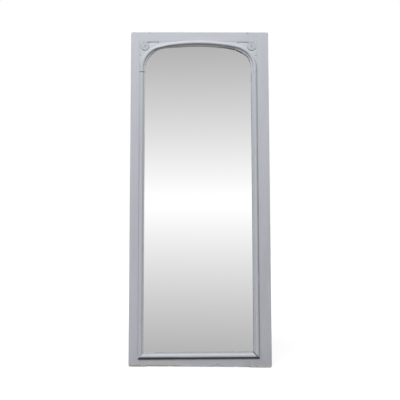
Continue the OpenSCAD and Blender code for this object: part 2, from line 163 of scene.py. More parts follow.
CAMERA_PLACE = (-0.239, -3.0123, 0.633)
CAMERA_YAW = 0.53
CAMERA_PITCH = 4.61
CAMERA_ROLL = 0.31
FOCAL_PX = 562.3
PHOTO_PX = 400
SHIFT_PX = 50
SENSOR = 36.0
CLIP_END = 200


def add_camera():
    yaw, pitch, roll = (math.radians(a) for a in (CAMERA_YAW, CAMERA_PITCH, CAMERA_ROLL))
    look = Vector((-math.sin(yaw) * math.cos(pitch), math.cos(yaw) * math.cos(pitch), math.sin(pitch)))
    right = Vector((math.cos(yaw), math.sin(yaw), 0))
    up = right.cross(look)
    right, up = (right * math.cos(roll) + up * math.sin(roll),
                 up * math.cos(roll) - right * math.sin(roll))
    data = bpy.data.cameras.new("camera")
    data.sensor_width = SENSOR
    data.lens = SENSOR * FOCAL_PX / PHOTO_PX
    data.shift_x = SHIFT_PX / PHOTO_PX
    data.clip_end = CLIP_END
    camera = bpy.data.objects.new("camera", data)
    camera.matrix_world = Matrix.Translation(CAMERA_PLACE) @ Matrix(
        (right, up, -look)).transposed().to_4x4()
    bpy.context.scene.collection.objects.link(camera)
    bpy.context.scene.camera = camera


# Materials

class Nodes:
    """A node tree. Values are its nodes' sockets or plain numbers."""

    def __init__(self, tree):
        self.tree = tree

    def node(self, kind, values=(), **settings):
        made = self.tree.nodes.new(kind)
        for key, value in settings.items():
            setattr(made, key, value)
        for place, value in dict(values).items():
            self.feed(made.inputs[place], value)
        return made

    def feed(self, socket, value):
        if isinstance(value, bpy.types.NodeSocket):
            self.tree.links.new(value, socket)
        else:
            socket.default_value = value

    def math(self, operation, a, b=0.0, clamp=False):
        made = self.node("ShaderNodeMath", {0: a, 1: b}, operation=operation, use_clamp=clamp)
        return made.outputs[0]

    def plus(self, a, b):
        return self.math("ADD", a, b)

    def minus(self, a, b):
        return self.math("SUBTRACT", a, b)

    def times(self, a, b):
        return self.math("MULTIPLY", a, b)


class Shade(Nodes):
    """A material under construction."""

    def __init__(self, name):
        self.material = bpy.data.materials.new(name)
        self.material.use_nodes = True
        super().__init__(self.material.node_tree)
        self.surface = self.tree.nodes["Principled BSDF"]

    def attribute(self, name, output="Vector"):
        return self.node("ShaderNodeAttribute", attribute_name=name).outputs[output]

    def place(self):
        return self.node("ShaderNodeTexCoord").outputs["Object"]

    def stretched(self, vector, scale, offset=(0, 0, 0)):
        made = self.node("ShaderNodeMapping", {"Vector": vector, "Scale": scale, "Location": offset})
        return made.outputs[0]

    def noise(self, vector, scale, detail, roughness=0.55):
        made = self.node("ShaderNodeTexNoise", {
            "Vector": vector, "Scale": scale, "Detail": detail, "Roughness": roughness})
        return made.outputs["Fac"]

    def drawn_noise(self, vector, scale, detail, roughness, offset=(0, 0, 0)):
        """Noise with a scale of its own along each axis."""
        return self.noise(self.stretched(vector, scale, offset), 1.0, detail, roughness)

    def step(self, value, low, high):
        """0 below low, 1 above high, smooth between them."""
        made = self.node("ShaderNodeMapRange", {
            "Value": value, "From Min": low, "From Max": high}, interpolation_type="SMOOTHSTEP")
        return made.outputs[0]

    def mix(self, factor, a, b):
        made = self.node("ShaderNodeMix", data_type="RGBA")
        for place, value in ((0, factor), (6, a), (7, b)):
            self.feed(made.inputs[place], value)
        return made.outputs[2]

    def bump(self, height, strength, distance):
        made = self.node("ShaderNodeBump", {
            "Height": height, "Strength": strength, "Distance": distance})
        self.feed(self.surface.inputs["Normal"], made.outputs[0])

    def set(self, **values):
        for name, value in values.items():
            self.feed(self.surface.inputs[name.replace("_", " ").title()], value)


# The light and the dark of a paint's brush marks, and the wear that lays the wood bare
PAINTS = {
    "frame_paint": ((0.625, 0.652, 0.706, 1), (0.575, 0.598, 0.650, 1), 1.22),
    "moulding_paint": ((0.620, 0.647, 0.699, 1), (0.579, 0.603, 0.654, 1), 1.30),
    # The carving paint is a lighter copy of the same paint: painted light on the sunk spandrels and rosettes
    "carving_paint": ((0.655, 0.680, 0.728, 1), (0.615, 0.638, 0.686, 1), 1.30),
}
# The light and the dark of a bare wood, and how much its growth lines show
WOODS = {
    "oak_bare": ((0.36, 0.26, 0.165, 1), (0.19, 0.125, 0.075, 1), 0.45),
    "pine_bare": ((0.43, 0.32, 0.21, 1), (0.24, 0.165, 0.10, 1), 0.5),
}
STAIN = (0.50, 0.49, 0.485, 1)
# Grey for dirty places and for painted shade
GRIME_AND_SHADE = (0.26, 0.26, 0.255, 1)
# Black for a few marks and for painted shade in the seams
BLACK = (0.062, 0.048, 0.036, 1)
PRIMER = (0.74, 0.70, 0.65, 1)
# White, painted light on shaded faces of the beads
PAINTED_LIGHT_WHITE = (0.84, 0.84, 0.82, 1)
WORN_WOOD = ((0.33, 0.27, 0.22, 1), (0.58, 0.51, 0.45, 1))
WOOD_DUST = (0.42, 0.40, 0.37, 1)
WOOD_ARRIS = (0.20, 0.15, 0.11, 1)
PEG_ENDS = ((0.12, 0.08, 0.05, 1), (0.30, 0.21, 0.13, 1))
RUST = ((0.055, 0.045, 0.042, 1), (0.16, 0.10, 0.075, 1))
LOST_SILVER = (0.60, 0.60, 0.58, 1)
MIRROR_REFLECTANCE = 0.94


def painted_wood(name):
    """Chalky paint brushed along the grain. Wear takes it down to a primer, then to bare wood, and
    above BARE to a white that is painted light. The second attribute turns it grey up to 1 and black
    above it: dirty places, and painted shade."""
    light, dark, wear_level = PAINTS[name]
    shade = Shade(name)
    grain = shade.attribute("grain")
    wear = shade.attribute("wear", "Fac")
    dirt_and_shade = shade.attribute("dirt_and_shade", "Fac")
    streaks = shade.drawn_noise(grain, (2.2, 170.0, 170.0), 5.0, 0.6)
    brush = shade.drawn_noise(grain, (9.0, 900.0, 900.0), 3.0, 0.6)
    clouds = shade.drawn_noise(grain, (3.0, 14.0, 14.0), 4.0, 0.6)
    tone = shade.plus(shade.times(streaks, 0.5), shade.times(clouds, 0.5))
    colour = shade.mix(shade.step(tone, 0.34, 0.66), dark, light)
    stain = shade.drawn_noise(grain, (14.0, 40.0, 40.0), 5.0, 0.65, (3, 1, 2))
    colour = shade.mix(shade.times(shade.step(stain, 0.56, 0.78), 0.35), colour, STAIN)
    # Grey up to 1 on the second attribute: dirty places, and painted shade in creases, hollows and seams
    grime_and_shade = shade.times(shade.math("MINIMUM", dirt_and_shade, 1.0), shade.step(stain, 0.2, 0.5))
    colour = shade.mix(shade.times(grime_and_shade, 0.6), colour, GRIME_AND_SHADE)
    patches = shade.drawn_noise(grain, (45.0, 120.0, 120.0), 5.0, 0.7, (1, 5, 2))
    edge = shade.plus(wear, shade.times(shade.minus(patches, 0.5), 2.4))
    primed = shade.step(edge, wear_level - 0.4, wear_level - 0.1)
    colour = shade.mix(shade.times(primed, 0.7), colour, PRIMER)
    bare = shade.step(edge, wear_level, wear_level + 0.16)
    colour = shade.mix(shade.times(bare, 0.85), colour, shade.mix(streaks, *WORN_WOOD))
    # Black above 1: a few dark marks, and painted shade in seams, mitres and under the foot bead
    black_marks_and_shade = shade.math("MULTIPLY", shade.minus(dirt_and_shade, 1.0), 0.92, clamp=True)
    colour = shade.mix(black_marks_and_shade, colour, BLACK)
    # White at the top of the wear: painted light on shaded faces of the beads
    colour = shade.mix(shade.step(wear, PAINTED_LIGHT - 1.0, PAINTED_LIGHT), colour, PAINTED_LIGHT_WHITE)
    shade.set(base_color=colour, roughness=shade.plus(0.46, shade.times(brush, 0.18)))
    shade.surface.inputs["Specular IOR Level"].default_value = 0.4
    height = shade.plus(shade.times(brush, 0.4), shade.times(streaks, 0.6))
    shade.bump(shade.minus(height, shade.times(bare, 0.5)), 0.25, 0.0006)
    return shade.material


def old_wood(name):
    """Bare softwood or oak, planed long ago: growth lines along the grain, dusty patches and darker arrises.
    """
    light, dark, spread = WOODS[name]
    shade = Shade(name)
    grain = shade.attribute("grain")
    wear = shade.attribute("wear", "Fac")
    bend = shade.drawn_noise(grain, (2.0, 9.0, 9.0), 2.0, 0.5)
    lines = shade.node("ShaderNodeTexWave", {
        "Vector": shade.stretched(grain, (0.6, 38.0, 38.0)), "Scale": 1.0, "Distortion": 7.0,
        "Detail": 3.0, "Detail Scale": 1.2}, bands_direction="Y").outputs["Fac"]
    fibre = shade.drawn_noise(grain, (12.0, 1400.0, 1400.0), 4.0, 0.65)
    clouds = shade.drawn_noise(grain, (2.5, 12.0, 12.0), 4.0, 0.6, (2, 7, 1))
    tone = shade.plus(shade.times(lines, spread), shade.times(fibre, 0.35))
    tone = shade.plus(tone, shade.times(bend, 0.35))
    colour = shade.mix(shade.step(tone, 0.2, 1.0), dark, light)
    dusty = shade.mix(0.5, light, WOOD_DUST)
    colour = shade.mix(shade.times(shade.step(clouds, 0.45, 0.75), 0.45), colour, dusty)
    colour = shade.mix(shade.times(wear, 0.35), colour, WOOD_ARRIS)
    shade.set(base_color=colour, roughness=shade.plus(0.62, shade.times(fibre, 0.2)))
    shade.surface.inputs["Specular IOR Level"].default_value = 0.3
    shade.bump(shade.plus(fibre, shade.times(lines, 0.5)), 0.35, 0.0008)
    return shade.material


def end_grain():
    """Sawn ends of pegs and blocks: growth rings and open pores."""
    shade = Shade("peg_end_grain")
    place = shade.place()
    rings = shade.node("ShaderNodeTexWave", {
        "Vector": place, "Scale": 190.0, "Distortion": 3.0, "Detail": 2.0},
        wave_type="RINGS", rings_direction="Y").outputs["Fac"]
    pores = shade.noise(place, 2600.0, 2.0)
    tone = shade.plus(shade.times(rings, 0.5), shade.times(pores, 0.5))
    shade.set(base_color=shade.mix(shade.step(tone, 0.2, 0.8), *PEG_ENDS))
    shade.surface.inputs["Roughness"].default_value = 0.75
    shade.bump(pores, 0.4, 0.0004)
    return shade.material


def rusty_iron():
    """Old nails under a thin crust of rust."""
    shade = Shade("nail_rust")
    crust = shade.noise(shade.place(), 1500.0, 5.0, 0.65)
    shade.set(base_color=shade.mix(shade.step(crust, 0.35, 0.65), *RUST),
              roughness=shade.plus(0.55, shade.times(crust, 0.25)))
    shade.surface.inputs["Metallic"].default_value = 0.35
    shade.bump(crust, 0.5, 0.0004)
    return shade.material


def silvered_glass():
    """Silvered plate with a faint haze and a few specks of lost silver."""
    shade = Shade("silvered_plate")
    place = shade.place()
    haze = shade.noise(place, 5.0, 3.0, 0.5)
    specks = shade.noise(place, 420.0, 3.0, 0.7)
    loss = shade.times(shade.step(specks, 0.74, 0.78), 0.25)
    silver = (MIRROR_REFLECTANCE, MIRROR_REFLECTANCE, MIRROR_REFLECTANCE, 1)
    shade.set(base_color=shade.mix(loss, silver, LOST_SILVER), roughness=shade.times(haze, 0.012))
    shade.surface.inputs["Metallic"].default_value = 1.0
    return shade.material


# Meshes

def finish_mesh(bm, name, material, node, grain, wear, dirt_and_shade=None, sharp=35):
    """Makes the piece: metres, attributes, smooth shading with sharp arrises."""
    bmesh.ops.recalc_face_normals(bm, faces=bm.faces)
    bm.verts.ensure_lookup_table()
    mesh = bpy.data.meshes.new(name)
    places = [v.co.copy() for v in bm.verts]
    for v in bm.verts:
        v.co = v.co * MM
    bm.to_mesh(mesh)
    bm.free()
    layer = mesh.attributes.new("grain", "FLOAT_VECTOR", "POINT")
    layer.data.foreach_set("vector", [c * MM for i, p in enumerate(places) for c in grain(i, p)])
    for title, rule in (("wear", wear), ("dirt_and_shade", dirt_and_shade)):
        layer = mesh.attributes.new(title, "FLOAT", "POINT")
        layer.data.foreach_set("value", [rule(i, p) if rule else 0.0 for i, p in enumerate(places)])
    mesh.shade_smooth()
    mesh.set_sharp_from_angle(angle=math.radians(sharp))
    mesh.materials.append(material)
    piece = bpy.data.objects.new(name, mesh)
    bpy.context.scene.collection.objects.link(piece)
    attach(piece, "root")
    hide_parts(node)


def quad(bm, a, b, i):
    """Joins two closed rings of points, from their point i to the next one."""
    j = (i + 1) % len(a)
    bm.faces.new((a[i], a[j], b[j], b[i]))


# Beads

# Extra cuts near the ends and the nails, and the dent over each nail
END_CUTS = (0.4, 1.2)
NAIL_CUTS = (-5, -3, -1.8, -0.9, 0, 0.9, 1.8, 3, 5)
NAIL_CLEAR = 6
DENT_REACH = 5
DENT_D = 0.5
DENT_R = 1.9

# Heights of the section: the tongue is below the first, hand work shows above the second, dents above
# the third, and the crest is rubbed above the fourth
TONGUE_V = -1
WORKED_V = 0.3
DENTED_V = 6
RUBBED_V = 7

# Hand work: the lengths of its waves along the bead, and how strong they are
LONG_WAVE = 85.0
LONG_LOW = 0.012
SHORT_WAVE = 19.0
SHORT_LOW = 0.008
SAG_WAVE = 130.0
SAG = 0.12

# Wear, and painted shade with some dusty soiling, across the section: middle and half width in u,
# or the u up to which it is full and the width over which it fades
RUBBED = 0.6
CREST_RUB_W = 3.5
NOSE_RUB_W = 1.2
HOLLOW = (27.5, 1.5)
LEFT_FLANK = (23.5, 3.0)
RIGHT_FLANK = (25.0, 3.5)
LEFT_HAUNCH_FLANK = (22.8, 1.9)
RIGHT_HAUNCH_FLANK = (19.8, 2.0)
CROWN_FLANK = (22.0, 3.0)
LEFT_CREASE = (3.0, 4.0)
RIGHT_CREASE = (5.0, 6.0)
HAUNCH_CREASE = (3.0, 6.0)
FOOT_CREASE_W = 6.0
MITRE_SHADE_W = 0.6

# Painted shade in the side beads: the height up to which it is full, and the height over which it fades
LEFT_CREASE_UP = (1200.0, 300.0)
LEFT_FLANK_UP = (1000.0, 500.0)
RIGHT_UP = (900.0, 600.0)

# Where the sides of the arch's tongue are white as painted light, along each piece
RIGHT_LIGHTENED_END = 76
LEFT_LIGHTENED_START = 150
CROWN_LIGHTENED_START = 90

# Each bead's grain starts this much further on, so that no two look the same
GRAIN_JUMP = 997

# Shallow places planed into the arch: middle and half width along X, and depth
CREST_PLANED = ((-214.0, 34.0, 4.9), (-168.0, 38.0, 1.4), (205.0, 15.0, 1.6), (268.0, 24.0, -3.2))
SIGHT_PLANED = ((-200.0, 50.0, 5.6), (-150.0, 30.0, 1.0), (150.0, 28.0, 1.5), (274.0, 20.0, 4.0))


def arc(cx, cy, r, a0, a1, n):
    """Points of an arc from the angle a0 to a1, in n steps."""
    return [(cx + r * math.cos(math.radians(a0 + (a1 - a0) * i / n)),
             cy + r * math.sin(math.radians(a0 + (a1 - a0) * i / n))) for i in range(n + 1)]


def bead_section(tongue_u, set_back):
    """Section of the bead, with softened corners. Its tongue starts at tongue_u and ends set_back
    behind the sight edge."""
    drop = CREST_H - SIGHT_H - (CREST_R + COVE_R) * (1 - math.cos(math.radians(FLANK_A)))
    fillet_u = (CREST_U + (CREST_R + COVE_R) * math.sin(math.radians(FLANK_A))
                + drop / math.tan(math.radians(FLANK_A)))
    crest = arc(CREST_U, CREST_H - CREST_R, CREST_R, 90 + OUTER_A, 90 - FLANK_A, 24)
    slope = math.tan(math.radians(OUTER_A))
    x0, y0 = crest[0]
    edge_h = y0 - x0 * slope
    outer = [(x0 * k, edge_h + x0 * k * slope) for k in (0.25, 0.5, 0.75)]
    hollow = arc(fillet_u, SIGHT_H + COVE_R, COVE_R, 270 - FLANK_A, 270, 8)
    x1, y1 = crest[-1]
    x2, y2 = hollow[0]
    flank = [(x1 + (x2 - x1) * k / 3, y1 + (y2 - y1) * k / 3) for k in (1, 2)]
    nose = [(BEAD_W - SIGHT_BEVEL, SIGHT_H), (BEAD_W - 0.35, SIGHT_H - 0.3), (BEAD_W, SIGHT_H - SIGHT_BEVEL)]
    lip = [(BEAD_W, -SIGHT_BACK), (BEAD_W - set_back, -SIGHT_BACK)] if set_back else []
    return ([(0.0, 0.0), (0.0, edge_h - 0.5), (0.4, edge_h + 0.1)] + outer + crest + flank + hollow + nose
            + lip + [(BEAD_W - set_back, -TONGUE_D), (tongue_u, -TONGUE_D), (tongue_u, 0.0)])


def spaced(length, step, nails):
    """Places along a bead, closer at its ends and round each nail."""
    count = max(2, round(length / step))
    marks = [length * i / count for i in range(count + 1)]
    marks += list(END_CUTS) + [length - d for d in END_CUTS]
    for nail in nails:
        marks = [m for m in marks if abs(m - nail) > NAIL_CLEAR]
        marks += [nail + d for d in NAIL_CUTS]
    return sorted(marks)


def hand_worked(u, v, mark, seed):
    """A point above the face, where hand work and wear left it: a little low and sagging."""
    long_wave = 1 + rough(mark / LONG_WAVE, seed + 3)
    short_wave = 1 + rough(mark / SHORT_WAVE, u / 9.0, seed + 5)
    sag = SAG + SAG * rough(mark / SAG_WAVE, seed)
    return (u + sag * math.sin(math.pi * min(u / BEAD_W, 1.0)),
            v * (1 - LONG_LOW * long_wave - SHORT_LOW * short_wave))


def planed_arch(x):
    """How far the arch's crest was worked inwards and its sight edge outwards at this x. The arch was
    moulded by hand: its bead is narrower at the crown's ends, most on the left."""
    span = rise(x, -275.0, 35.0) * fade(x, 190.0, 25.0)
    crest_in, sight_out = 1.3 * span, 2.2 * span
    for middle, width, depth in CREST_PLANED:
        crest_in += depth * bell(x, middle, width)
    for middle, width, depth in SIGHT_PLANED:
        sight_out += depth * bell(x, middle, width)
    return crest_in, sight_out


def replaned(u, crest_in, sight_out):
    """Stretches the section between its outer edge, its moved crest and its moved sight edge."""
    if u < CREST_U:
        return u + crest_in * u / CREST_U
    return u + crest_in - (crest_in + sight_out) * (u - CREST_U) / (BEAD_W - CREST_U)


def bead_wear(u, v):
    """The crest and the nose at the sight edge are rubbed."""
    crest = RUBBED * bell(u, CREST_U, CREST_RUB_W) if v > RUBBED_V else 0.0
    nose = RUBBED if u > BEAD_W - NOSE_RUB_W and v > TONGUE_V else 0.0
    return max(crest, nose)


def bead(name, node, paint, length, place, nails, grime_and_shade, seed, start=None, end=None, step=7.0,
         tongue=None, set_back=SIGHT_IN, planed=None, reach=(0.0, 0.0), lightened=None, hollow_dark=0.35):
    """A bead swept along a line.

    place(u, s) gives x and z. start(u) and end(u) cut its ends, and tongue(s) gives the u where its
    tongue starts. planed(x) is as planed_arch, and reach is how much longer the tongue is at each
    end. The darkening rule, of u, v and s, gives its painted shade and some dirty places, and the
    white rule says where it is white, as painted light. The last number darkens the hollow beside
    the plate: dusty soiling and painted shade.
    """
    start = start or (lambda u: 0.0)
    end = end or (lambda u: length)
    low, high = start(CREST_U), end(CREST_U)
    marks = [(nail - low) / (high - low) * length for nail in nails]
    bm = bmesh.new()
    rings, grains, wears, dirt_and_shade_values = [], [], [], []
    for mark in spaced(length, step, marks):
        t = mark / length
        section = bead_section(tongue(mark) if tongue else BEAD_SEAT + BEAD_GAP, set_back)
        ring = []
        for u, v in section:
            low, high = start(u), end(u)
            if v < TONGUE_V:
                low, high = low - reach[0], high + reach[1]
            s = low + (high - low) * t
            if v > WORKED_V:
                u, v = hand_worked(u, v, mark, seed)
            for nail in nails:
                d = math.hypot(s - nail, u - CREST_U)
                if d < DENT_REACH and v > DENTED_V:
                    v -= DENT_D * bell(d, 0.0, DENT_R)
            if planed:
                u = replaned(u, *planed(place(CREST_U, s)[0]))
            x, z = place(u, s)
            ring.append(bm.verts.new((x, FACE_Y - v, z)))
            grains.append((s + GRAIN_JUMP * seed, u, v))
            # Painted light: white where the white rule says so; elsewhere the rubbed crest and nose
            wears.append(PAINTED_LIGHT if lightened and lightened(u, v, s) else bead_wear(u, v))
            # Painted shade, with some dusty soiling: the hollow beside the plate, both ends and the outer
            # crease are darker
            hollow = hollow_dark * bell(u, *HOLLOW) if v > 0 else 0.0
            joint = 1.0 if mark < 0.2 or mark > length - 0.2 else 0.0
            outer_edge = 1.0 if u < 0.5 and v < 1.5 else 0.0
            dirt_and_shade_values.append(max(hollow, grime_and_shade(u, v, s), joint, outer_edge))
        rings.append(ring)
    for a, b in zip(rings, rings[1:]):
        for i in range(len(a)):
            quad(bm, a, b, i)
    bm.faces.new(rings[0])
    bm.faces.new(rings[-1])
    finish_mesh(bm, name, paint, node, lambda i, p: grains[i],
                lambda i, p: wears[i], lambda i, p: dirt_and_shade_values[i])


def other_side(place):
    """The same line mirrored about the middle of the arch."""
    def mirrored(u, s):
        x, z = place(u, s)
        return 2 * ARCH_X - x, z
    return mirrored


def haunch_line(u, s):
    """The right haunch: a straight leg, then an arc round its own centre, s along the outer edge."""
    if s <= LEG_H:
        return BEAD_R - u, JOINT_Z + s
    a = (s - LEG_H) / HAUNCH_R
    return (ARCH_X + HAUNCH_X + (HAUNCH_R - u) * math.cos(a), SPRING_Z + (HAUNCH_R - u) * math.sin(a))


def crown_line(u, s):
    """The crown, s along its outer edge from the right."""
    a = HAUNCH_A + (CROWN_JOINT + s) / CROWN_R
    return ARCH_X + (CROWN_R - u) * math.cos(a), CROWN_Z + (CROWN_R - u) * math.sin(a)


def foot_line(u, s):
    """The foot bead, s along its outer edge from the left corner."""
    c, d = math.cos(FOOT_SLOPE), math.sin(FOOT_SLOPE)
    return BEAD_L + s * c - u * d, FOOT_L + s * d + u * c


def evenly(start, length, count):
    """Places in the middle of equal shares of a length."""
    return [start + length * (i + 0.5) / count for i in range(count)]


def add_side_beads(paint):
    """The two straight beads, s being the height above the floor."""
    lowest = REBATE_Z + 2 * BEAD_W
    nails = evenly(lowest, JOINT_Z - lowest, SIDE_NAILS)
    lean = BEAD_W * math.tan(FOOT_SLOPE)

    def left_mitre(u):
        return FOOT_L + (FOOT_RISE + lean) * u / BEAD_W

    def right_mitre(u):
        return FOOT_R + (FOOT_RISE - lean) * u / BEAD_W

    def left_shade(u, v, s):
        """Painted shade: crease and flank are darker low down, and the joint at the springing is black."""
        crease = 0.5 * fade(u, *LEFT_CREASE) * (0.2 + 0.8 * fade(s, *LEFT_CREASE_UP))
        flank = 0.55 * bell(u, *LEFT_FLANK) * (0.35 + 0.65 * fade(s, *LEFT_FLANK_UP))
        end = 1.6 if s > JOINT_Z - LEFT_JOINT - 1.0 else 0.0
        return max(crease, flank, end)

    def right_shade(u, v, s):
        """The same painted shade, with black in the open mitre."""
        lower_part = fade(s, *RIGHT_UP)
        crease = 1.05 * fade(u, *RIGHT_CREASE) * (0.45 + 0.55 * lower_part)
        flank = 0.3 * bell(u, *RIGHT_FLANK) * lower_part
        mitre = JOINT_SHADE_BLACK if s < right_mitre(u) + MITRE_SHADE_W else 0.0
        return max(crease, flank, mitre)

    bead("left_bead_moulding", "left_bead", paint, JOINT_Z - LEFT_JOINT,
         lambda u, s: (BEAD_L + u, s), nails, left_shade, seed=1.0, start=left_mitre)
    bead("right_bead_moulding", "right_bead", paint, JOINT_Z - RIGHT_JOINT,
         lambda u, s: (BEAD_R - u, s), nails, right_shade, seed=2.0, start=right_mitre,
         reach=(MITRE_REACH, 0.0))


def add_arch_beads(paint):
    """The haunches, s running up from their feet, and the crown."""
    haunch_len = LEG_H + HAUNCH_R * HAUNCH_A
    haunch_nails = [LEG_H + HAUNCH_R * HAUNCH_A * k for k in (0.25, 0.75)]
    crown_len = CROWN_R * (math.pi - 2 * HAUNCH_A) - 2 * CROWN_JOINT

    def right_shade(u, v, s):
        """Painted shade: black on the tongue's side high up, a dark crease on the leg, and a dark flank
        line.
        """
        if u > BEAD_W - 0.6 and v < 0:
            return 1.8 * rise(s, 88.0, 36.0)
        crease = 0.7 * fade(u, *HAUNCH_CREASE) * fade(s, 30.0, 70.0)
        flank = bell(u, *RIGHT_HAUNCH_FLANK) * (0.75 + 0.4 * rise(s, 110.0, 40.0)) * rise(s, 50.0, 60.0)
        return max(crease, flank)

    def left_shade(u, v, s):
        """Painted shade: a dark line along the flank, from the leg up."""
        return 0.95 * bell(u, *LEFT_HAUNCH_FLANK) * rise(s, 60.0, 60.0) if v > 0 else 0.0

    def crown_shade(u, v, s):
        """Painted shade: a little darker on the face, a dark flank line, and black on the tongue's side at
        the right end.
        """
        return 0.12 + 0.8 * bell(u, *CROWN_FLANK) if v > 0 else 1.7 * fade(s, 5.0, 85.0)

    # Painted light: the sides of each tongue are white over the stretch given above
    bead("right_haunch_moulding", "right_haunch_bead", paint, haunch_len, haunch_line,
         haunch_nails, right_shade, seed=3.0, step=3.0, set_back=0.0, planed=planed_arch,
         lightened=lambda u, v, s: v < 0 and s < RIGHT_LIGHTENED_END, hollow_dark=0.1)
    bead("left_haunch_moulding", "left_haunch_bead", paint, haunch_len, other_side(haunch_line),
         haunch_nails, left_shade, seed=4.0, step=3.0, set_back=0.0, planed=planed_arch,
         lightened=lambda u, v, s: v < 0 and s > LEFT_LIGHTENED_START, hollow_dark=0.15)
    bead("crown_moulding", "crown_bead", paint, crown_len, crown_line,
         evenly(0.0, crown_len, ARCH_NAILS), crown_shade, seed=5.0, step=4.0, set_back=0.0,
         planed=planed_arch, lightened=lambda u, v, s: v < 0 and s > CROWN_LIGHTENED_START)


def add_foot_bead(paint):
    """The bead under the plate, s running from its left corner."""
    length = math.hypot(BEAD_R - BEAD_L, FOOT_R - FOOT_L)
    gap_l = LEFT_MITRE * math.sqrt(2)
    gap_r = OPEN_MITRE * math.sqrt(2)

    def tongue(s):
        bottom = foot_edge(BEAD_L + s * math.cos(FOOT_SLOPE))
        return max((REBATE_Z + BEAD_GAP - bottom) * math.cos(FOOT_SLOPE), BEAD_SEAT + BEAD_GAP)

    def left_mitre(u):
        return gap_l + u * (1 + math.tan(FOOT_SLOPE))

    def right_mitre(u):
        return length - gap_r - u * (1 - math.tan(FOOT_SLOPE))

    def grime_and_shade(u, v, s):
        """Painted shade: a black shadow on the lower slope and in the open mitre, faintly darker beside the
        plate.
        """
        top = 6.3 + 1.3 * fade(s, 150.0, 150.0)
        below = JOINT_SHADE_BLACK * fade(u, top, FOOT_CREASE_W) if v > 0 else 0.0
        mitre = JOINT_SHADE_BLACK if s > right_mitre(u) - MITRE_SHADE_W else 0.0
        return max(below, 0.15 * rise(u, 22.0, 5.0), mitre)

    def lightened(u, v, s):
        """Painted light: white under the lip at the left end, and a painted highlight on the right corner.
        """
        under_lip = v < 0 and u > 26 and s < 100
        corner = v > 2 and 9 < u < 26 and s > right_mitre(u) - 5
        return under_lip or corner

    bead("bottom_bead_moulding", "bottom_bead", paint, length, foot_line,
         evenly(BEAD_W * 2, length - 4 * BEAD_W, FOOT_NAILS), grime_and_shade, seed=6.0, start=left_mitre,
         end=right_mitre, tongue=tongue, reach=(0.0, MITRE_REACH), lightened=lightened, hollow_dark=0.1)


# Timber

# Wear of the arrises at the lips and the seams, and the lengths of the waves of all wear
LIP_BITE = 0.08
SEAM_BITE = 0.14
BITE_WAVE = 17
HOLLOW_WAVE = 70

# Extra cuts beside the ends of each face
EDGE_CUTS = (0.9, 2.6)
EDGE_CLEAR = 4

# Points this near to the back or the front belong to it, and the foot's knocks stay below its zone
BACK_SKIN = 1.2
FRONT_SKIN = 2
FOOT_ZONE = 20
KNOCK_D = 6.0
KNOCK_WAVE = 34.0
CHIP_WAVE = 7.0

# The flake: height and half width of its outline, and depth
FLAKE_H = 16.0
FLAKE_W = 34.0
FLAKE_D = 1.3


def flat_mesh(node):
    """A copy of a node's solid in millimetres, with joined corners and whole flat faces."""
    bm = bmesh.new()
    bm.from_mesh(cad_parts[node].data)
    for v in bm.verts:
        v.co = v.co / MM
    bmesh.ops.remove_doubles(bm, verts=bm.verts, dist=1e-3)
    bmesh.ops.dissolve_limit(bm, angle_limit=math.radians(0.4), verts=bm.verts, edges=bm.edges)
    return bm


def cut(bm, axis, places):
    """Cuts every face at these places along an axis."""
    normal = Vector([1.0 if i == axis else 0.0 for i in range(3)])
    for place in places:
        bmesh.ops.bisect_plane(bm, geom=bm.verts[:] + bm.edges[:] + bm.faces[:], dist=1e-4,
                               plane_co=normal * place, plane_no=normal)


def steps(low, high, gap):
    """Even steps between two places, and close ones beside both ends."""
    count = max(1, round((high - low) / gap))
    inner = [low + (high - low) * i / count for i in range(1, count)]
    near = [low + d for d in EDGE_CUTS] + [high - d for d in EDGE_CUTS]
    return sorted(near + [p for p in inner if low + EDGE_CLEAR < p < high - EDGE_CLEAR])


def find_arrises(bm):
    """The vertices on sharp outer edges, each with the direction that points out of them."""
    found = {}
    for e in bm.edges:
        if len(e.link_faces) == 2 and e.calc_face_angle_signed(0.0) > math.radians(50):
            outwards = e.link_faces[0].normal + e.link_faces[1].normal
            for v in e.verts:
                found[v.index] = found.get(v.index, Vector()) + outwards
    return found


def arris_bite(p, edge):
    """How far an arris is worn back: hardly at the lips and at the seams of the spandrels."""
    if min(abs(p.x - BEAD_L), abs(p.x - BEAD_R), abs(p.z - HEAD_Z)) < 0.6 and p.z > JOINT_Z:
        return SEAM_BITE
    if min(abs(p.x - LIP_L), abs(p.x - LIP_R)) < 0.05:
        return LIP_BITE
    return edge * (1 + 0.35 * rough(p.x / BITE_WAVE, p.y / BITE_WAVE, p.z / BITE_WAVE))


